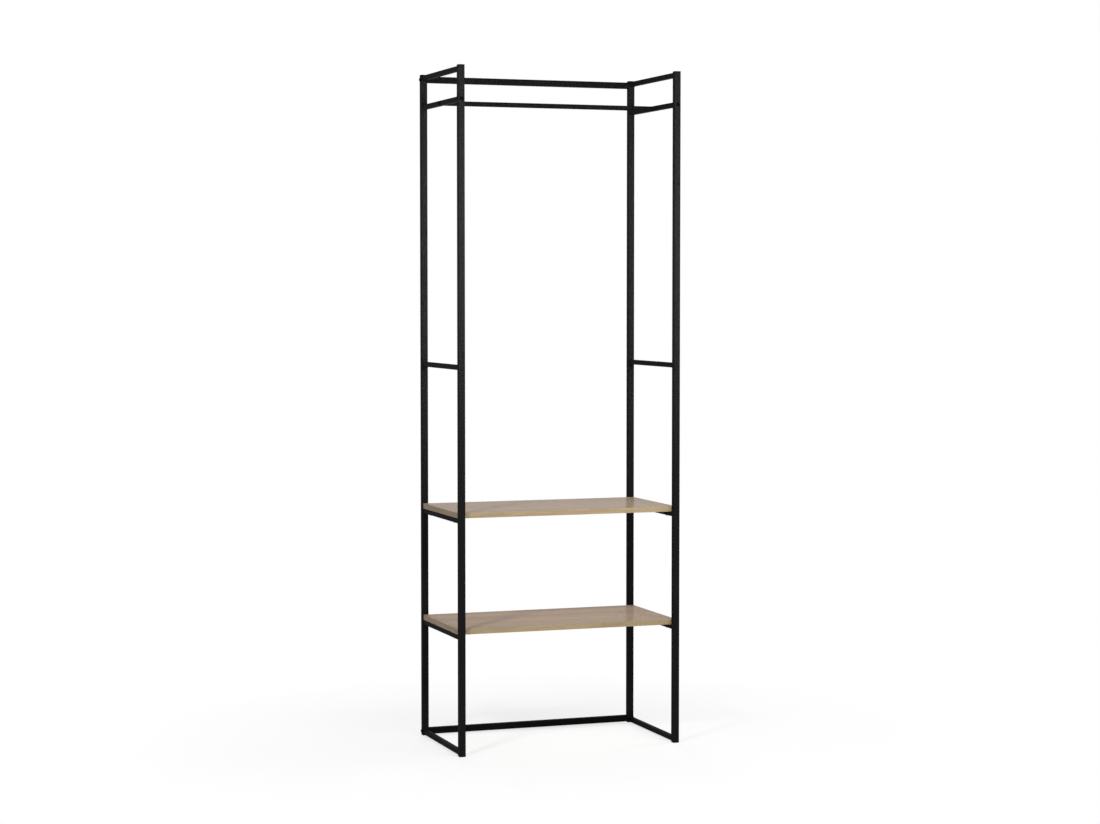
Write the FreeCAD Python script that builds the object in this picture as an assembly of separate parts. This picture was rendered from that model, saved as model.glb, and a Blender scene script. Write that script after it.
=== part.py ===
import FreeCAD, Part
import math
import os

from FreeCAD import Rotation, Vector

# Outside sizes of the rack, in millimetres
rack_width = 620.0            # outer faces of the left posts to outer faces of the right posts
rack_depth = 350.0            # front faces of the front posts to rear faces of the rear posts
rack_height = 1800.0          # floor to the tops of the post caps

# Levels
lower_shelf_top = 333.0       # floor to the upper face of the lower shelf
shelf_spacing = 305.0         # upper face of the lower shelf to that of the upper shelf
post_split = 1006.0           # floor to the joint between lower and upper posts
middle_rail_rise = 5.0        # post joint to the underside of the middle rails
hanger_drop = 85.0            # upper ends of the posts to the axis of hanger rails and rod
top_bar_drop = 1.5            # upper ends of the posts to the upper face of the top crossbar

# Steel tubes
post_side = 17.0
post_wall = 1.2
bar_side = 17.0               # the two crossbars at the back
bar_wall = 1.2
rail_side = 13.0              # every tube that runs from a front post to a rear post
rail_wall = 1.0
rod_diameter = 13.0
rod_wall = 1.0
inner_corner = 0.3            # bend radius inside a square tube; the outside adds the wall
edge_break = 0.4              # bevel round the cut ends of the posts

# Plug sleeves inside the post joints
sleeve_length = 80.0
sleeve_wall = 1.5
sleeve_clearance = 0.15       # each side, between a sleeve and the post around it

# Moulded caps and feet
cap_height = 3.0
foot_height = 3.0
mould_round = 1.0             # rounding of the outward edges
plug_clearance = 0.1          # each side, between a plug and the tube around it
plug_bolt_gap = 0.6           # between a plug's end and the bolt that passes it

# Shelves
shelf_thickness = 14.0
shelf_clearance = 1.0         # shelf to the posts in front of it and behind it
band_thickness = 0.8          # glued strips round the edges of a board
band_round = 0.4              # rounding of the strips' outward edges

# Button-head bolts and the nuts in the ends of the tubes they pull on
bolt_diameter = 6.0
bolt_head_diameter = 10.5
bolt_head_height = 3.3
bolt_head_rim = 0.7           # upright edge of the head below its dome
bolt_head_flat = 5.6          # diameter of the flat round the socket
bolt_head_bulge = 0.6         # height of the dome's curve above its chord
socket_flats = 4.0            # hexagon socket, across flats
socket_depth = 2.0
bolt_bite = 10.0              # length of a bolt inside its nut
nut_length = 12.0
nut_clearance = 0.1           # each side, between a nut and the tube around it
thread_clearance = 0.2        # a nut's bore is this much wider than its bolt
hole_clearance = 0.6          # a plain hole is this much wider than what passes it

# Shelf screws, driven upwards through the shelf rails
screw_diameter = 3.8
screw_head_diameter = 8.0
screw_head_height = 2.4
screw_slot_width = 1.2        # each bar of the cross recess
screw_slot_length = 4.4
screw_slot_depth = 1.4
screw_point = 2.5             # length of the tapered tip
screw_bite = 10.0             # length of a screw inside the board
screw_setback = 50.0          # posts to the nearest screws
pilot_clearance = 0.2         # a pilot hole is this much wider and deeper than its screw

# Places that follow from the sizes
post_x = rack_width / 2 - post_side / 2
post_y = rack_depth / 2 - post_side / 2
post_foot = foot_height
post_top = rack_height - cap_height
rail_reach = rack_depth / 2 - post_side
bar_reach = rack_width / 2 - post_side
hanger_level = post_top - hanger_drop
upper_shelf_top = lower_shelf_top + shelf_spacing
screw_y = rail_reach - screw_setback
rail_outside = post_x + rail_side / 2

shelf_tops = {"upper": upper_shelf_top, "lower": lower_shelf_top}
bar_levels = {"top": post_top - top_bar_drop - bar_side / 2, "bottom": post_foot + bar_side / 2}
rail_levels = {
    "top_rail": post_top - rail_side / 2,
    "hanger_rail": hanger_level,
    "middle_rail": post_split + middle_rail_rise + rail_side / 2,
    "upper_shelf_rail": upper_shelf_top - shelf_thickness - rail_side / 2,
    "lower_shelf_rail": lower_shelf_top - shelf_thickness - rail_side / 2,
    "bottom_rail": post_foot + rail_side / 2,
}
sides = {"left": -1, "right": 1}
ends = {"front": -1, "rear": 1}

X = Vector(1, 0, 0)
Y = Vector(0, 1, 0)
Z = Vector(0, 0, 1)
same_level = 1e-6             # lengths closer than this count as equal


def placed(shape, point, direction):
    """Copy of a shape made on the Z axis, turned to a direction and moved to a point."""
    copy = shape.copy()
    copy.Placement = FreeCAD.Placement(point, Rotation(Z, direction)).multiply(shape.Placement)
    return copy


def edges_at(shape, level):
    """Edges of a shape that lie wholly at one height."""
    return [e for e in shape.Edges if all(abs(v.Z - level) < same_level for v in e.Vertexes)]


def square_bar(side, corner, length):
    """Solid square bar with rounded corners, standing on the Z axis."""
    flat = side / 2 - corner
    bend = flat + corner * math.cos(math.pi / 4)
    straight = Part.makeLine(Vector(side / 2, -flat, 0), Vector(side / 2, flat, 0))
    arc = Part.Arc(Vector(side / 2, flat, 0), Vector(bend, bend, 0), Vector(flat, side / 2, 0))
    outline = []
    for quarter in range(4):
        for edge in (straight, arc.toShape()):
            edge = edge.copy()
            edge.rotate(Vector(), Z, 90 * quarter)
            outline.append(edge)
    return Part.Face(Part.Wire(outline)).extrude(Z * length)


def square_tube(side, wall, length, bevel=0.0):
    """Square tube standing on the Z axis, its cut ends bevelled outside if asked."""
    outer = square_bar(side, inner_corner + wall, length)
    if bevel:
        outer = outer.makeChamfer(bevel, edges_at(outer, 0) + edges_at(outer, length))
    return outer.cut(square_bar(side - 2 * wall, inner_corner, length))


def drilled(shape, point, direction, length, diameter):
    """A shape with one plain round hole through it."""
    return shape.cut(Part.makeCylinder(diameter / 2, length, point, direction))


def post(x, y, low, high):
    """Post tube between two levels."""
    return placed(square_tube(post_side, post_wall, high - low, edge_break), Vector(x, y, low), Z)


def lower_post(side, end):
    """Lower post; a rear one has the hole for the bottom crossbar's bolt."""
    tube = post(side * post_x, end * post_y, post_foot, post_split)
    if end == ends["rear"]:
        start = Vector(side * rack_width / 2, post_y, bar_levels["bottom"])
        tube = drilled(tube, start, X * -side, post_side, bolt_diameter + hole_clearance)
    return tube


def upper_post(side, end):
    """Upper post with its hanger rail hole; a rear one also has the top crossbar's hole."""
    tube = post(side * post_x, end * post_y, post_split, post_top)
    start = Vector(side * post_x, end * rack_depth / 2, hanger_level)
    tube = drilled(tube, start, Y * -end, post_side, bolt_diameter + hole_clearance)
    if end == ends["rear"]:
        start = Vector(side * rack_width / 2, post_y, bar_levels["top"])
        tube = drilled(tube, start, X * -side, post_side, bolt_diameter + hole_clearance)
    return tube


def sleeve(side, end):
    """Plug sleeve, half in the lower post and half in the upper one."""
    outside = post_side - 2 * post_wall - 2 * sleeve_clearance
    tube = square_tube(outside, sleeve_wall, sleeve_length)
    return placed(tube, Vector(side * post_x, end * post_y, post_split - sleeve_length / 2), Z)


def end_plug(height, bolt_distance):
    """Moulded post end: a square pad below the origin, its plug above kept short of a bolt."""
    pad = square_bar(post_side, inner_corner + post_wall, height)
    pad = pad.makeFillet(mould_round, edges_at(pad, 0))
    pad.translate(Z * -height)
    depth = bolt_distance - bolt_diameter / 2 - plug_bolt_gap
    plug = square_bar(post_side - 2 * post_wall - 2 * plug_clearance, inner_corner, depth)
    return pad.fuse(plug).removeSplitter()


def cap(side, end):
    """Cap in the upper end of a post."""
    plug = end_plug(cap_height, post_top - bar_levels["top"])
    return placed(plug, Vector(side * post_x, end * post_y, post_top), Z * -1)


def foot(side, end):
    """Foot in the lower end of a post."""
    plug = end_plug(foot_height, bar_levels["bottom"] - post_foot)
    return placed(plug, Vector(side * post_x, end * post_y, post_foot), Z)


def side_rail(side, level):
    """Rail from a front post to a rear post."""
    tube = square_tube(rail_side, rail_wall, 2 * rail_reach)
    return placed(tube, Vector(side * post_x, -rail_reach, level), Y)


def hanger_rail(side):
    """Rail that carries one end of the rod, drilled for the rod's bolt."""
    start = Vector(side * rail_outside, 0, hanger_level)
    tube = side_rail(side, hanger_level)
    return drilled(tube, start, X * -side, rail_side, bolt_diameter + hole_clearance)


def shelf_rail(side, level):
    """Rail under the end of a shelf, drilled for its screws."""
    tube = side_rail(side, level)
    for end in ends.values():
        start = Vector(side * post_x, end * screw_y, level - rail_side / 2)
        tube = drilled(tube, start, Z, rail_side, screw_diameter + hole_clearance)
    return tube


def crossbar(level):
    """Bar between the two rear posts."""
    tube = square_tube(bar_side, bar_wall, 2 * bar_reach)
    return placed(tube, Vector(-bar_reach, post_y, level), X)


def rod():
    """Round tube between the two hanger rails."""
    reach = post_x - rail_side / 2
    outer = Part.makeCylinder(rod_diameter / 2, 2 * reach)
    bore = Part.makeCylinder(rod_diameter / 2 - rod_wall, 2 * reach)
    return placed(outer.cut(bore), Vector(-reach, 0, hanger_level), X)


def shelf_size():
    """Half width and half depth of a shelf, edge bands included."""
    return rail_outside, rail_reach - shelf_clearance


def board(top):
    """Shelf board inside its edge bands, with pilot holes for its screws."""
    half_width, half_depth = shelf_size()
    corner = Vector(band_thickness - half_width, band_thickness - half_depth, top - shelf_thickness)
    width = 2 * (half_width - band_thickness)
    depth = 2 * (half_depth - band_thickness)
    slab = Part.makeBox(width, depth, shelf_thickness, corner)
    pilot_depth = screw_bite + pilot_clearance
    for side in sides.values():
        for end in ends.values():
            start = Vector(side * post_x, end * screw_y, top - shelf_thickness)
            slab = drilled(slab, start, Z, pilot_depth, screw_diameter + pilot_clearance)
    return slab


def band_strip(length, round_ends):
    """Edge strip along X, its outer face towards -Y and its inner face on Y = 0."""
    corner = Vector(-length / 2, -band_thickness, 0)
    strip = Part.makeBox(length, band_thickness, shelf_thickness, corner)
    outward = [e for e in strip.Edges if all(v.Y < -band_thickness / 2 for v in e.Vertexes)]
    if not round_ends:
        outward = [e for e in outward if abs(e.Length - length) < same_level]
    return strip.makeFillet(band_round, outward)


def shelf_bands(top):
    """The four edge bands of a shelf: long ones at front and rear, short ones between them."""
    half_width, half_depth = shelf_size()
    inner_width = half_width - band_thickness
    inner_depth = half_depth - band_thickness
    bands = {
        "front": (2 * half_width, True, inner_depth, 0),
        "right": (2 * inner_depth, False, inner_width, 90),
        "rear": (2 * half_width, True, inner_depth, 180),
        "left": (2 * inner_depth, False, inner_width, 270),
    }
    shapes = {}
    for name, (length, round_ends, reach, turn) in bands.items():
        strip = band_strip(length, round_ends)
        strip.translate(Vector(0, -reach, top - shelf_thickness))
        strip.rotate(Vector(), Z, turn)
        shapes[name] = strip
    return shapes


def hexagon(flats, depth):
    """Hexagonal prism standing on the Z axis."""
    radius = flats / math.sqrt(3)
    angles = [math.radians(60 * corner) for corner in range(7)]
    points = [Vector(radius * math.cos(a), radius * math.sin(a), 0) for a in angles]
    return Part.Face(Part.makePolygon(points)).extrude(Z * depth)


def bolt(grip):
    """Button-head bolt: head below the origin, shank above it through its grip into the nut."""
    rim = bolt_head_diameter / 2
    crown = bolt_head_flat / 2
    seat_edge = Vector(rim, 0, 0)
    dome_start = Vector(rim, 0, -bolt_head_rim)
    dome_end = Vector(crown, 0, -bolt_head_height)
    axis_end = Vector(0, 0, -bolt_head_height)
    chord = dome_end - dome_start
    bulge = Vector(-chord.z, 0, chord.x).normalize() * bolt_head_bulge
    middle = (dome_start + dome_end) * 0.5 + bulge
    outline = [
        Part.makeLine(Vector(), seat_edge),
        Part.makeLine(seat_edge, dome_start),
        Part.Arc(dome_start, middle, dome_end).toShape(),
        Part.makeLine(dome_end, axis_end),
        Part.makeLine(axis_end, Vector()),
    ]
    head = Part.Face(Part.Wire(outline)).revolve(Vector(), Z, 360)
    socket = placed(hexagon(socket_flats, socket_depth), axis_end, Z)
    shank = Part.makeCylinder(bolt_diameter / 2, grip + bolt_bite)
    return head.cut(socket).fuse(shank).removeSplitter()


def bored(blank):
    """A nut blank on the Z axis with its threaded bore."""
    return drilled(blank, Vector(), Z, nut_length, bolt_diameter + thread_clearance)


def square_nut(side, wall):
    """Nut for the end of a square tube."""
    return bored(square_bar(side - 2 * wall - 2 * nut_clearance, inner_corner, nut_length))


def round_nut():
    """Nut for the end of the rod."""
    return bored(Part.makeCylinder(rod_diameter / 2 - rod_wall - nut_clearance, nut_length))


def screw():
    """Pan-head screw: head below the origin, shank above it through the rail into the board."""
    radius = screw_diameter / 2
    straight = rail_side + screw_bite - screw_point
    shank = Part.makeCylinder(radius, straight)
    point = Part.makeCone(radius, radius / 4, screw_point, Vector(0, 0, straight))
    underside = Vector(0, 0, -screw_head_height)
    head = Part.makeCylinder(screw_head_diameter / 2, screw_head_height, underside)
    head = head.makeFillet(screw_head_height / 2, edges_at(head, -screw_head_height))
    for length, width in ((screw_slot_length, screw_slot_width), (screw_slot_width, screw_slot_length)):
        corner = Vector(-length / 2, -width / 2, -screw_head_height)
        head = head.cut(Part.makeBox(length, width, screw_slot_depth, corner))
    return head.fuse([shank, point]).removeSplitter()


def crossbar_fasteners():
    """Bolts through the rear posts and the nuts in the crossbars' ends."""
    bolts = []
    nuts = []
    for level in bar_levels.values():
        for side in sides.values():
            outside = Vector(side * rack_width / 2, post_y, level)
            inside = Vector(side * bar_reach, post_y, level)
            bolts.append(placed(bolt(post_side), outside, X * -side))
            nuts.append(placed(square_nut(bar_side, bar_wall), inside, X * -side))
    return bolts, nuts


def hanger_rail_fasteners():
    """Bolts through the posts and the nuts in the hanger rails' ends."""
    bolts = []
    nuts = []
    for side in sides.values():
        for end in ends.values():
            outside = Vector(side * post_x, end * rack_depth / 2, hanger_level)
            inside = Vector(side * post_x, end * rail_reach, hanger_level)
            bolts.append(placed(bolt(post_side), outside, Y * -end))
            nuts.append(placed(square_nut(rail_side, rail_wall), inside, Y * -end))
    return bolts, nuts


def rod_fasteners():
    """Bolts through the hanger rails and the nuts in the rod's ends."""
    bolts = []
    nuts = []
    for side in sides.values():
        outside = Vector(side * rail_outside, 0, hanger_level)
        inside = Vector(side * (post_x - rail_side / 2), 0, hanger_level)
        bolts.append(placed(bolt(rail_side), outside, X * -side))
        nuts.append(placed(round_nut(), inside, X * -side))
    return bolts, nuts


def shelf_screws():
    """Screws under both shelves, two in each shelf rail."""
    screws = []
    for top in shelf_tops.values():
        for side in sides.values():
            for end in ends.values():
                seat = Vector(side * post_x, end * screw_y, top - shelf_thickness - rail_side)
                screws.append(placed(screw(), seat, Z))
    return screws


def frame_nodes():
    """Posts with what goes into them, and the rails between them."""
    nodes = {}
    for side_name, side in sides.items():
        for end_name, end in ends.items():
            corner = f"{side_name}_{end_name}"
            nodes[f"{corner}_lower_post"] = lower_post(side, end)
            nodes[f"{corner}_upper_post"] = upper_post(side, end)
            nodes[f"{corner}_sleeve"] = sleeve(side, end)
            nodes[f"{corner}_cap"] = cap(side, end)
            nodes[f"{corner}_foot"] = foot(side, end)
        for rail_name in ("top_rail", "middle_rail", "bottom_rail"):
            nodes[f"{side_name}_{rail_name}"] = side_rail(side, rail_levels[rail_name])
        for rail_name in ("upper_shelf_rail", "lower_shelf_rail"):
            nodes[f"{side_name}_{rail_name}"] = shelf_rail(side, rail_levels[rail_name])
        nodes[f"{side_name}_hanger_rail"] = hanger_rail(side)
    for bar_name, level in bar_levels.items():
        nodes[f"rear_{bar_name}_crossbar"] = crossbar(level)
    nodes["hanging_rod"] = rod()
    return nodes


def shelf_nodes():
    """Shelf boards and their edge bands."""
    nodes = {}
    for name, top in shelf_tops.items():
        nodes[f"{name}_shelf_board"] = board(top)
        for place, band in shelf_bands(top).items():
            nodes[f"{name}_shelf_{place}_band"] = band
    return nodes


def fastener_nodes():
    """Bolts, nuts and screws, each kind as a group of separate solids."""
    nodes = {}
    groups = {
        "crossbar": crossbar_fasteners(),
        "hanger_rail": hanger_rail_fasteners(),
        "rod": rod_fasteners(),
    }
    for name, (bolts, nuts) in groups.items():
        nodes[f"{name}_bolts"] = Part.makeCompound(bolts)
        nodes[f"{name}_end_nuts"] = Part.makeCompound(nuts)
    nodes["shelf_screws"] = Part.makeCompound(shelf_screws())
    return nodes


os.makedirs("parts", exist_ok=True)
for node, shape in {**frame_nodes(), **shelf_nodes(), **fastener_nodes()}.items():
    shape.exportStep(f"parts/{node}.step")
    print(f"{node}: {len(shape.Solids)} solid(s), {shape.Volume / 1000:.2f} cm3, valid {shape.isValid()}")
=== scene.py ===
# %% [markdown]
# # A clothes rack of square steel tube with two oak shelves
# The rack arrives as a fixed frame: every tube, bolt, cap and board already has its true size and
# place, in metres, with X to the right, Y to the back and Z up from the floor. This lesson leaves
# those pieces where they are and gives them what a frame lacks: weld beads, finishes, light and a
# camera. The size of the bare frame is kept.

# %% Load the frame
import math
import bpy
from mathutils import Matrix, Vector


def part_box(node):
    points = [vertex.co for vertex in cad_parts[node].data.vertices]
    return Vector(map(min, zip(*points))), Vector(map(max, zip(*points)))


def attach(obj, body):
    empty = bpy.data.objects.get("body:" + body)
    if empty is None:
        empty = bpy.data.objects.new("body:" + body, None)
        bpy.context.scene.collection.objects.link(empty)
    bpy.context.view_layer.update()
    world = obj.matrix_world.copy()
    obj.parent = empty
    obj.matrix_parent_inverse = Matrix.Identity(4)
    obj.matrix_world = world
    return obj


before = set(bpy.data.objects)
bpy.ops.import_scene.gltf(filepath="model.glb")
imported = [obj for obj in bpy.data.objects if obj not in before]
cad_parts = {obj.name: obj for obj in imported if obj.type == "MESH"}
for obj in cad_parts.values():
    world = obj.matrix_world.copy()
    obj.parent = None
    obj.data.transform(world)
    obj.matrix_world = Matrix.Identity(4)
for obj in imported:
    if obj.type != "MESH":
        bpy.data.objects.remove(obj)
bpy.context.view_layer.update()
scene = bpy.context.scene

# %% [markdown]
# ## The camera
# A product photograph of tall furniture is taken from far away with a long lens, so that upright
# posts look upright. The place, turn and lens below were found by matching the edges of the posts
# and rails in the picture. A lens shift could do the same framing, but it would stay with the
# camera when it walks round the rack, so the camera is tilted down a little instead.

# %% Camera
camera_data = bpy.data.cameras.new("photo_camera")
camera_data.sensor_width = 36.0
camera_data.lens = 80.159
camera_data.clip_end = 200.0
camera = bpy.data.objects.new("photo_camera", camera_data)
camera.location = (-2.2236, -6.2257, 1.2218)
camera_tilt = math.radians(-2.8778)
camera_turn = math.radians(-19.6780)
camera.rotation_euler = (math.radians(90.0) + camera_tilt, 0.0, camera_turn)
scene.collection.objects.link(camera)
scene.camera = camera
print("camera lens", camera_data.lens, "mm, distance", round(camera.location.length, 2), "m")

# %% [markdown]
# ## Helpers for finishes
# Every finish here is a small network of nodes that ends in one Principled shader. Adding the nodes
# by hand in the shader editor is a matter of clicks; in a script it is a matter of many short lines.
# One helper adds a node, sets its options and fills its sockets with values or with wires. The
# others are the steps that come back in every finish: a noise, a range, two colours and a bump.

# %% Node helpers
def add_node(finish, kind, sockets=None, **options):
    """Adds one node to a finish or a world; a socket gets a value, or a wire from another node."""
    node = finish.node_tree.nodes.new("ShaderNode" + kind)
    for name, value in options.items():
        setattr(node, name, value)
    for name, value in (sockets or {}).items():
        if isinstance(value, bpy.types.NodeSocket):
            finish.node_tree.links.new(value, node.inputs[name])
        else:
            node.inputs[name].default_value = value
    return node


def new_finish(name):
    """A material with its Principled shader, and the place of a point on the piece in metres."""
    finish = bpy.data.materials.new(name)
    finish.use_nodes = True
    place = add_node(finish, "TexCoord").outputs["Object"]
    return finish, finish.node_tree.nodes["Principled BSDF"], place


def wire(finish, source, shader, socket):
    """Joins one output to a socket of the shader."""
    finish.node_tree.links.new(source, shader.inputs[socket])


def step(finish, operation, *values):
    """One sum, product or other step on values or wires."""
    return add_node(finish, "Math", dict(enumerate(values)), operation=operation).outputs[0]


def spread(finish, value, low, high, start=0.0, end=1.0):
    """Stretches a pattern's values from start..end to low..high."""
    sockets = {"Value": value, "From Min": start, "From Max": end, "To Min": low, "To Max": high}
    return add_node(finish, "MapRange", sockets).outputs["Result"]


print("node helpers ready")

# %% Pattern helpers
def noise(finish, place, scale, detail):
    """A cloudy pattern; the scale is about the number of lumps in a metre."""
    sockets = {"Vector": place, "Scale": scale, "Detail": detail}
    return add_node(finish, "TexNoise", sockets).outputs["Fac"]


def cells(finish, place, scale):
    """A pattern of cells: the distance of a point from the middle of its cell."""
    return add_node(finish, "TexVoronoi", {"Vector": place, "Scale": scale}).outputs["Distance"]


def two_colours(finish, value, first, second, start=0.0, end=1.0):
    """Goes from the first colour to the second while a pattern's values go from start to end."""
    ramp = add_node(finish, "ValToRGB", {"Fac": value})
    for stop, position, colour in zip(ramp.color_ramp.elements, (start, end), (first, second)):
        stop.position = position
        stop.color = (*colour, 1.0)
    return ramp.outputs["Color"]


def darken(finish, share, ground, pattern):
    """Multiplies a colour by a pattern's colour, by a share of its strength."""
    sockets = {"Fac": share, "Color1": ground, "Color2": pattern}
    return add_node(finish, "MixRGB", sockets, blend_type="MULTIPLY").outputs["Color"]


def bump(finish, height, strength, depth):
    """Tilts the surface by a pattern that stands for a height of up to depth metres."""
    sockets = {"Height": height, "Strength": strength, "Distance": depth}
    return add_node(finish, "Bump", sockets)


print("pattern helpers ready")

# %% [markdown]
# ## The floor and the studio
# The rack stands on plain white, so floor and background have to look white in the camera and in
# reflections, yet the light that falls on the rack stays at a plain level. A Light Path node makes
# that split: rays from the camera, off a shiny face or through glass see white, and only the soft
# light sees a dimmer room.
# The floor keeps part of its true diffuse shading, so that the feet still have their soft shadow.

# %% Floor
def seen_white(finish):
    """1 for rays from the camera, off a shiny face or through glass, and 0 for soft light."""
    path = add_node(finish, "LightPath").outputs
    straight = step(finish, "MAXIMUM", path["Is Camera Ray"], path["Is Transmission Ray"])
    return step(finish, "MAXIMUM", path["Is Glossy Ray"], straight)


floor_side = 60.0
floor_near = 0.25
floor_far = 1.15
shadow_share = 0.32
bpy.ops.object.select_all(action="DESELECT")
bpy.ops.mesh.primitive_plane_add(size=floor_side, location=(0.0, 0.0, 0.0))
floor = bpy.context.active_object
floor.name = "studio_floor"
paper, paper_shader, paper_place = new_finish("white_paper_floor")
paper_shader.inputs["Base Color"].default_value = (0.97, 0.97, 0.97, 1.0)
paper_shader.inputs["Roughness"].default_value = 0.9
paper_shader.inputs["Specular IOR Level"].default_value = 0.0
glow = add_node(paper, "Emission", {"Color": (1.0, 1.0, 1.0, 1.0), "Strength": 1.0})
from_rack = add_node(paper, "VectorMath", {0: paper_place}, operation="LENGTH").outputs["Value"]
glow_share = spread(paper, from_rack, 1.0 - shadow_share, 1.0, floor_near, floor_far)
white_share = step(paper, "MULTIPLY", seen_white(paper), glow_share)
blend = add_node(paper, "MixShader", {
    0: white_share, 1: paper_shader.outputs["BSDF"], 2: glow.outputs["Emission"]})
wire(paper, blend.outputs["Shader"], paper.node_tree.nodes["Material Output"], "Surface")
floor.data.materials.append(paper)
print("floor", floor_side, "m square, shadow share", shadow_share)

# %% World
world = bpy.data.worlds.new("studio_room")
scene.world = world
world.use_nodes = True
room_level = 0.12
sky = world.node_tree.nodes["Background"]
sky.inputs["Color"].default_value = (1.0, 1.0, 1.0, 1.0)
wire(world, spread(world, seen_white(world), room_level, 1.0), sky, "Strength")
scene.view_settings.view_transform = "Standard"
print("room level for soft light", room_level)

# %% [markdown]
# ## The lamps
# Broad soft boxes light the rack from the front, the right and behind. They are area lamps, because
# their size softens both the shadows and the shine along the tubes. The key lamp at the front left
# is small, so it draws a shadow: that of the left front post slants over the shelves, as in the
# photograph. The fifth lamp, in front, has a grid, which narrows its beam: it makes the upper posts
# lighter than the feet and hardly reaches the shelves.

# %% Lamps
def soft_box(name, place, aim, width, height, power):
    """One area lamp at a place, turned towards a point."""
    lamp = bpy.data.lights.new(name, "AREA")
    lamp.shape = "RECTANGLE"
    lamp.size = width
    lamp.size_y = height
    lamp.energy = power
    box = bpy.data.objects.new(name, lamp)
    box.location = place
    ray = box.location.copy()
    ray.negate()
    for axis in range(3):
        ray[axis] += aim[axis]
    box.rotation_euler = ray.to_track_quat("-Z", "Y").to_euler()
    box.visible_camera = False
    scene.collection.objects.link(box)
    return box


grid_angle = 38.0
soft_box("front_box", (0.35, -1.7, 1.5), (0.0, 0.0, 1.25), 1.6, 0.5, 28.5)
soft_box("key_box", (-2.2, -2.08, 2.6), (0.0, 0.0, 0.8), 0.45, 0.45, 55.0)
soft_box("right_box", (3.4, 0.3, 2.0), (0.0, 0.0, 1.0), 1.4, 1.8, 48.0)
rear_box = soft_box("rear_box", (0.3, 3.4, 2.4), (0.0, 0.0, 1.0), 1.8, 1.4, 55.0)
rear_box.visible_glossy = False
grid_box = soft_box("grid_box", (0.0, -2.2, 1.5), (-0.1, 0.0, 1.36), 1.6, 0.3, 6.6)
grid_box.data.spread = math.radians(grid_angle)

# %% [markdown]
# ## Black powder coat
# The tubes are sprayed with dry black powder that melts in an oven. A fine-textured powder doesn't
# flow out flat: it stays as tiny grains, duller in the hollows. Its colour is a little darker in the
# hollows and lighter on the grains' tops, which is painted shade and painted highlight.
# Three noises at different sizes make it: a broad one for the cloudy gloss, one of about a
# millimetre for the grains and a finer one for the specks on them.
# The crossbars and the rod catch less of the lamps' shine than the posts, so they look darker. They
# get a darker copy of the same coat, which is painted shade.

# %% Black powder coat
speck_share = 0.4
cloud_share = 0.4
hollow_value = 0.6
grain_value = 1.2
hollow_roughness = 0.56
grain_roughness = 0.38
grain_height = 0.00012


def coat_finish(name, hollow_colour_painted_shade, grain_colour_painted_highlight):
    """Fine-textured powder coat, darker in its hollows and lighter on its grains: painted shade and
    highlight.
    """
    coat, shader, place = new_finish(name)
    cloud = noise(coat, place, 14.0, 4.0)
    grain = noise(coat, place, 780.0, 2.0)
    speck = noise(coat, place, 2300.0, 2.0)
    height = step(coat, "MULTIPLY_ADD", speck, speck_share, grain)
    shade = step(coat, "MULTIPLY_ADD", cloud, cloud_share, height)
    tone = spread(coat, shade, 0.0, 1.0, hollow_value, grain_value)
    roughness = spread(coat, shade, hollow_roughness, grain_roughness, hollow_value, grain_value)
    # The colour follows the grain height, with the broad cloud as uneven tone: painted shade in the
    # hollows and a painted highlight on the tops.
    wire(coat, two_colours(coat, tone, hollow_colour_painted_shade, grain_colour_painted_highlight), shader, "Base Color")
    wire(coat, roughness, shader, "Roughness")
    wire(coat, bump(coat, height, 0.35, grain_height).outputs["Normal"], shader, "Normal")
    shader.inputs["Specular IOR Level"].default_value = 0.003
    return coat


black_coat = coat_finish(
    "black_powder_coat", (0.0082, 0.0082, 0.0087), (0.0118, 0.0118, 0.0126))
# A darker copy of the coat for the crossbars and the rod: painted shade.
painted_shade_coat = coat_finish(
    "black_powder_coat_painted_shade", (0.0047, 0.0047, 0.0050), (0.0069, 0.0069, 0.0074))
print("coats:", black_coat.name, painted_shade_coat.name, "with", len(black_coat.node_tree.nodes), "nodes each")

# %% [markdown]
# ## Black bolts
# The button heads are blackened in a hot salt bath and then oiled. The black layer hides the metal,
# so the heads look darker than the coat round them, with a tighter and slightly uneven shine.

# %% Black bolts
black_oxide, oxide_shader, oxide_place = new_finish("blackened_bolt_steel")
oxide_cloud = noise(black_oxide, oxide_place, 260.0, 3.0)
oxide_colour = two_colours(black_oxide, oxide_cloud, (0.0012, 0.0012, 0.0014), (0.0030, 0.0030, 0.0033))
oxide_bump = bump(black_oxide, oxide_cloud, 0.25, 0.00003)
wire(black_oxide, oxide_colour, oxide_shader, "Base Color")
wire(black_oxide, spread(black_oxide, oxide_cloud, 0.28, 0.45), oxide_shader, "Roughness")
wire(black_oxide, oxide_bump.outputs["Normal"], oxide_shader, "Normal")
oxide_shader.inputs["Specular IOR Level"].default_value = 0.008
print("bolt steel:", len(black_oxide.node_tree.nodes), "nodes")

# %% [markdown]
# ## Zinc on the inner hardware
# The nuts in the tube ends, the sleeves and the shelf screws are zinc plated. Zinc shows a pale grey
# metal with faint crystal patches, which a Voronoi pattern gives at about a millimetre.

# %% Zinc
zinc, zinc_shader, zinc_place = new_finish("zinc_plated_steel")
zinc_cells = cells(zinc, zinc_place, 700.0)
zinc_cloud = noise(zinc, zinc_place, 120.0, 3.0)
zinc_colour = two_colours(zinc, zinc_cloud, (0.46, 0.47, 0.49), (0.66, 0.67, 0.68))
zinc_bump = bump(zinc, zinc_cells, 0.2, 0.00002)
wire(zinc, zinc_colour, zinc_shader, "Base Color")
wire(zinc, spread(zinc, zinc_cells, 0.24, 0.42), zinc_shader, "Roughness")
wire(zinc, zinc_bump.outputs["Normal"], zinc_shader, "Normal")
zinc_shader.inputs["Metallic"].default_value = 1.0
print("zinc:", len(zinc.node_tree.nodes), "nodes")

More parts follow.
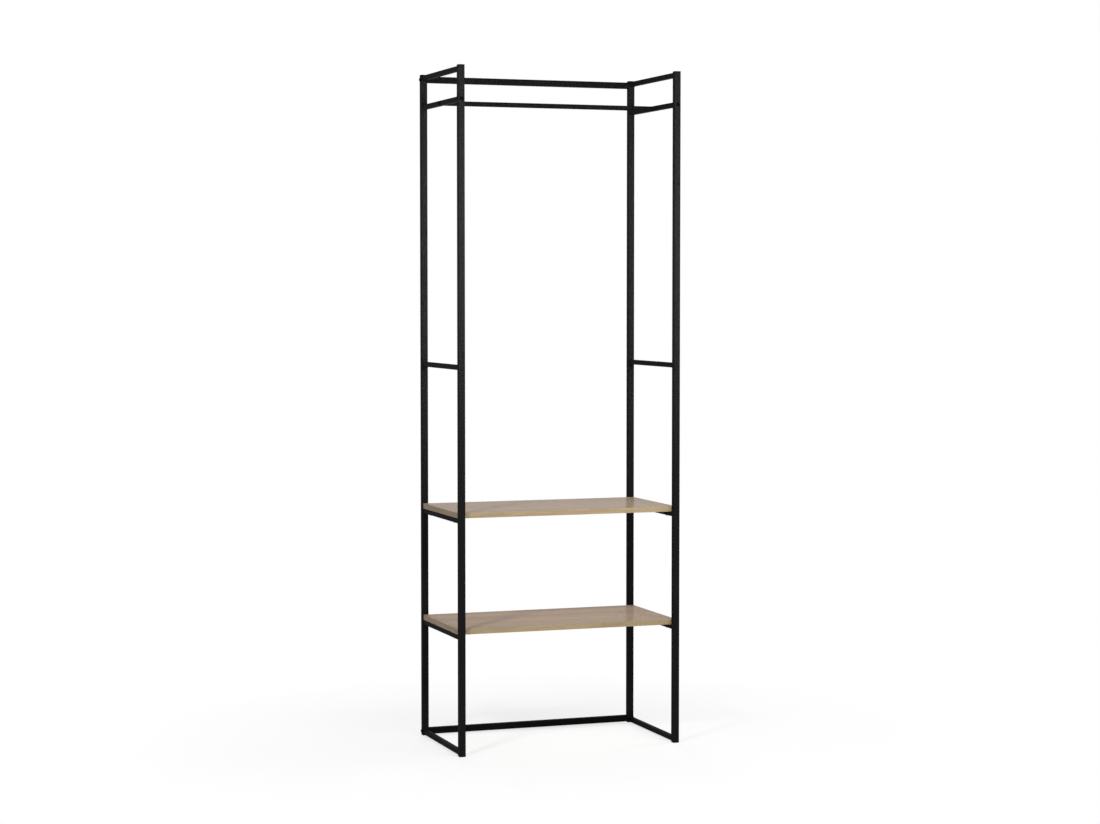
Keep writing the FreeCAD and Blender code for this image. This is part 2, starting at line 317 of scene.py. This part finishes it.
# %% [markdown]
# ## Moulded plastic caps and feet
# The post caps and feet come out of a spark-eroded mould, which leaves an even, fine leather-like
# texture and a dull shine. Fine Voronoi cells stand for that texture, and a broader noise for the
# slight clouds in its colour and shine.

# %% Black plastic
black_plastic, plastic_shader, plastic_place = new_finish("moulded_black_plastic")
plastic_cells = cells(black_plastic, plastic_place, 1500.0)
plastic_cloud = noise(black_plastic, plastic_place, 90.0, 3.0)
plastic_colour = two_colours(
    black_plastic, plastic_cloud, (0.0080, 0.0080, 0.0082), (0.0120, 0.0120, 0.0122))
plastic_bump = bump(black_plastic, plastic_cells, 0.4, 0.00004)
wire(black_plastic, plastic_colour, plastic_shader, "Base Color")
wire(black_plastic, spread(black_plastic, plastic_cloud, 0.5, 0.66), plastic_shader, "Roughness")
wire(black_plastic, plastic_bump.outputs["Normal"], plastic_shader, "Normal")
plastic_shader.inputs["Specular IOR Level"].default_value = 0.005
print("plastic:", len(black_plastic.node_tree.nodes), "nodes")

# %% [markdown]
# ## Oak laminate
# The shelf boards carry a printed oak surface. Oak rings are cones round the trunk, and a board cuts
# them at a slant, which draws nested arches. The pattern follows that: the distance of a point from
# a leaning trunk axis is cut into rings, fibres are noise stretched along the board, and pores are
# short dark dashes pressed a little into the surface. The lacquer is thin and smooth, so that a
# shelf mirrors the posts only when it is seen at a low angle.

# %% Oak rings
def stretched(finish, place, along, fine):
    """The place of a point, squeezed along the grain, so that noise on it turns into fibres."""
    return add_node(finish, "Mapping", {"Vector": place, "Scale": (along, fine, fine)}).outputs["Vector"]


oak, oak_shader, oak_place = new_finish("oak_laminate")
ring_width = 0.0085
ring_sway = 0.030
trunk_lean = 0.10
trunk_depth = 0.034
trunk_aside = 0.035
oak_axes = add_node(oak, "SeparateXYZ", {"Vector": oak_place}).outputs
sway = noise(oak, stretched(oak, oak_place, 1.6, 7.0), 5.0, 3.0)
wobble = spread(oak, sway, -ring_sway, ring_sway)
depth = step(oak, "MULTIPLY_ADD", oak_axes["X"], trunk_lean, trunk_depth)
aside = step(oak, "ADD", step(oak, "ADD", oak_axes["Y"], trunk_aside), wobble)
across = add_node(oak, "CombineXYZ", {"X": depth, "Y": aside, "Z": 0.0})
trunk_distance = add_node(oak, "VectorMath", {0: across.outputs["Vector"]}, operation="LENGTH")
ring = step(oak, "FRACT", step(oak, "DIVIDE", trunk_distance.outputs["Value"], ring_width))
print("oak rings", ring_width * 1000, "mm apart")

# %% Oak colour and pores
white = (1.0, 1.0, 1.0)
ring_depth = 0.35
fibre_depth = 0.6
pore_depth = 0.5
pore_start = 0.30
pore_end = 0.40
fibre = noise(oak, stretched(oak, oak_place, 9.0, 520.0), 1.0, 4.0)
band = noise(oak, stretched(oak, oak_place, 1.2, 16.0), 1.0, 3.0)
pore = noise(oak, stretched(oak, oak_place, 75.0, 1700.0), 1.0, 1.0)
pore_mask = spread(oak, pore, 1.0, 0.0, pore_start, pore_end)
oak_ground = two_colours(oak, band, (0.357, 0.266, 0.192), (0.432, 0.322, 0.235), 0.32, 0.68)
ring_tone = two_colours(oak, ring, (0.66, 0.66, 0.66), white, 0.0, 0.55)
fibre_tone = two_colours(oak, fibre, (0.80, 0.79, 0.78), white, 0.30, 0.70)
ringed = darken(oak, ring_depth, oak_ground, ring_tone)
fibred = darken(oak, fibre_depth, ringed, fibre_tone)
pored = add_node(oak, "MixRGB", {
    "Fac": step(oak, "MULTIPLY", pore_mask, pore_depth), "Color1": fibred,
    "Color2": (0.16, 0.125, 0.09, 1.0)})
pore_bump = bump(oak, pore_mask, 0.35, 0.00005)
pore_bump.invert = True
fibre_bump = bump(oak, fibre, 0.2, 0.00004)
wire(oak, pore_bump.outputs["Normal"], fibre_bump, "Normal")
wire(oak, pored.outputs["Color"], oak_shader, "Base Color")
wire(oak, spread(oak, fibre, 0.15, 0.22), oak_shader, "Roughness")
wire(oak, fibre_bump.outputs["Normal"], oak_shader, "Normal")
oak_shader.inputs["Specular IOR Level"].default_value = 0.0014
print("oak laminate:", len(oak.node_tree.nodes), "nodes")

# %% [markdown]
# ## Oak edging
# Thin edging strips close the board's four edges. Their print is straight-grained and a little more
# yellow than the top. The grain of a strip runs along its own length, so the front and rear strips
# get one finish and the two end strips the same finish turned a quarter. The end strips' colours
# are darker, which is painted shade.

# %% Oak edging
streak_depth = 0.7
dash_depth = 0.45


def edging_finish(name, quarter_turn, dark_wood, light_wood):
    """Straight-grained oak for a strip that runs along X, or along Y with a quarter turn."""
    strip, shader, place = new_finish(name)
    turned = add_node(strip, "Mapping", {"Vector": place, "Rotation": (0.0, 0.0, quarter_turn)})
    along = turned.outputs["Vector"]
    streak = noise(strip, stretched(strip, along, 7.0, 420.0), 1.0, 4.0)
    patch = noise(strip, stretched(strip, along, 9.0, 60.0), 1.0, 2.0)
    dash = noise(strip, stretched(strip, along, 80.0, 1700.0), 1.0, 1.0)
    ground = two_colours(strip, patch, dark_wood, light_wood, 0.30, 0.70)
    tone = two_colours(strip, streak, (0.78, 0.76, 0.74), white, 0.30, 0.68)
    dash_mask = spread(strip, dash, 1.0, 0.0, pore_start, pore_end)
    dashed = add_node(strip, "MixRGB", {
        "Fac": step(strip, "MULTIPLY", dash_mask, dash_depth),
        "Color1": darken(strip, streak_depth, ground, tone), "Color2": (0.18, 0.135, 0.085, 1.0)})
    wire(strip, dashed.outputs["Color"], shader, "Base Color")
    wire(strip, spread(strip, streak, 0.40, 0.52), shader, "Roughness")
    wire(strip, bump(strip, streak, 0.25, 0.00004).outputs["Normal"], shader, "Normal")
    shader.inputs["Specular IOR Level"].default_value = 0.06
    return strip


edging_along_x = edging_finish(
    "oak_edging_long", 0.0, (0.340, 0.258, 0.153), (0.403, 0.311, 0.194))
# The end strips' darker colours are painted shade.
edging_along_y_painted_shade = edging_finish(
    "oak_edging_short_painted_shade", math.radians(90.0), (0.262, 0.199, 0.118), (0.310, 0.240, 0.149))
print("edging finishes:", edging_along_x.name, edging_along_y_painted_shade.name)

# %% [markdown]
# ## Dressing the frame
# Each node of the frame carries the slot that its record names, such as black_steel. The finishes
# above go into those slots by name. Two slots need a second look: the grain of the edging depends on
# which way the strip runs, and the end strips and the bars and the rod get darker copies of their
# finishes, which are painted shade.

# %% Dress the frame
painted_shade_bars = ("rear_top_crossbar", "rear_bottom_crossbar", "hanging_rod")
finish_of_slot = {
    "black_steel": black_coat,
    "black_bolts": black_oxide,
    "zinc_steel": zinc,
    "black_plastic": black_plastic,
    "shelf_laminate": oak,
    "shelf_edging": edging_along_x,
}
dressed = {}
for name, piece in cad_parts.items():
    for piece_slot in piece.material_slots:
        slot_name = piece_slot.material.name.split(".")[0]
        if slot_name not in finish_of_slot:
            continue
        chosen = finish_of_slot[slot_name]
        # The end strips get the darker edging, turned a quarter: painted shade.
        if slot_name == "shelf_edging" and ("left_band" in name or "right_band" in name):
            chosen = edging_along_y_painted_shade
        # The crossbars and the rod get the darker coat: painted shade.
        if slot_name == "black_steel" and name in painted_shade_bars:
            chosen = painted_shade_coat
        piece_slot.material = chosen
        dressed[chosen.name] = dressed.get(chosen.name, 0) + 1
print("dressed:", dressed)

# %% [markdown]
# ## Weld beads
# Ten of the side rails are welded to their posts before the powder coat goes on; only the two hanger
# rails are bolted. A weld is a small round bead in the corner between rail and post. It runs down
# one side of the rail, along under it and up the other side, and shows a ripple for every short
# stop of the torch. One bead is modelled at the origin: a circle is pushed along the rail's outline
# with Extrude and turned at the corners with Spin, and every second ring is then drawn in a little.

# %% One weld bead
bead_radius = 0.0016
bead_points = 10
bead_step = 0.0007
bead_turn = 0.0019
bead_stop = 0.0018
corner_steps = 4
rail_low, rail_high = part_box("left_middle_rail")
half_rail = (rail_high[2] - rail_low[2]) / 2
straight_side = 2 * half_rail - bead_stop - bead_turn
straight_under = 2 * (half_rail - bead_turn)


def push_ring(length, direction):
    """Extrudes the open end of the bead in short steps."""
    steps = round(length / bead_step)
    for _ in range(steps):
        move = tuple(length / steps * axis for axis in direction)
        bpy.ops.mesh.extrude_region_move(TRANSFORM_OT_translate={"value": move})


def turn_ring(x):
    """Takes the open end of the bead a quarter round a lower corner of the rail."""
    corner = (x, 0.0, bead_turn - half_rail)
    bpy.ops.mesh.spin(steps=corner_steps, angle=math.radians(-90.0), center=corner, axis=(0.0, 1.0, 0.0))


bpy.ops.object.select_all(action="DESELECT")
bpy.ops.mesh.primitive_circle_add(
    vertices=bead_points, radius=bead_radius, location=(-half_rail, 0.0, half_rail - bead_stop))
bead = bpy.context.active_object
bpy.ops.object.transform_apply()
bpy.ops.object.mode_set(mode="EDIT")
bpy.ops.mesh.select_all(action="SELECT")
push_ring(straight_side, (0.0, 0.0, -1.0))
turn_ring(bead_turn - half_rail)
push_ring(straight_under, (1.0, 0.0, 0.0))
turn_ring(half_rail - bead_turn)
push_ring(straight_side, (0.0, 0.0, 1.0))
bpy.ops.object.mode_set(mode="OBJECT")
ring_total = len(bead.data.vertices) // bead_points
print("bead rings:", ring_total, "size:", [round(v * 1000, 2) for v in bead.dimensions], "mm")

# %% Ripple and ends of the bead
ripple = 0.00014
end_rise = bead_radius * 0.4
end_taper = 0.6


def pick_rings(wanted):
    """Goes into edit mode with only the wanted rings of the bead selected."""
    bpy.ops.object.mode_set(mode="EDIT")
    bpy.ops.mesh.select_all(action="DESELECT")
    bpy.ops.object.mode_set(mode="OBJECT")
    for vertex in bead.data.vertices:
        vertex.select = vertex.index // bead_points in wanted
    bpy.ops.object.mode_set(mode="EDIT")


pick_rings(range(1, ring_total, 2))
bpy.ops.transform.shrink_fatten(value=-ripple)
for ring_number, x in ((0, -half_rail), (ring_total - 1, half_rail)):
    pick_rings([ring_number])
    bpy.ops.mesh.extrude_region_move(TRANSFORM_OT_translate={"value": (0.0, 0.0, end_rise)})
    bpy.ops.transform.resize(value=(end_taper, end_taper, 1.0), center_override=(x, 0.0, half_rail))
    bpy.ops.mesh.edge_face_add()
bpy.ops.mesh.select_all(action="SELECT")
bpy.ops.mesh.normals_make_consistent(inside=False)
bpy.ops.object.mode_set(mode="OBJECT")
bpy.ops.object.shade_smooth()
bead.data.materials.append(black_coat)
print("bead faces:", len(bead.data.polygons))

# %% A bead at every welded joint
welded_rails = ("top_rail", "middle_rail", "upper_shelf_rail", "lower_shelf_rail", "bottom_rail")
welds = []
for side in ("left", "right"):
    for rail in welded_rails:
        low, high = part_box(f"{side}_{rail}")
        for end, reach in (("front", low[1]), ("rear", high[1])):
            bpy.ops.object.select_all(action="DESELECT")
            bead.select_set(True)
            bpy.context.view_layer.objects.active = bead
            bpy.ops.object.duplicate()
            weld = bpy.context.active_object
            weld.name = f"weld_{side}_{rail}_{end}"
            weld.location = ((low[0] + high[0]) / 2, reach, (low[2] + high[2]) / 2)
            weld.rotation_euler.y = math.pi if rail == "bottom_rail" else 0.0
            bpy.ops.object.transform_apply()
            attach(weld, "root")
            welds.append(weld)
bpy.data.objects.remove(bead)
print("weld beads:", len(welds))
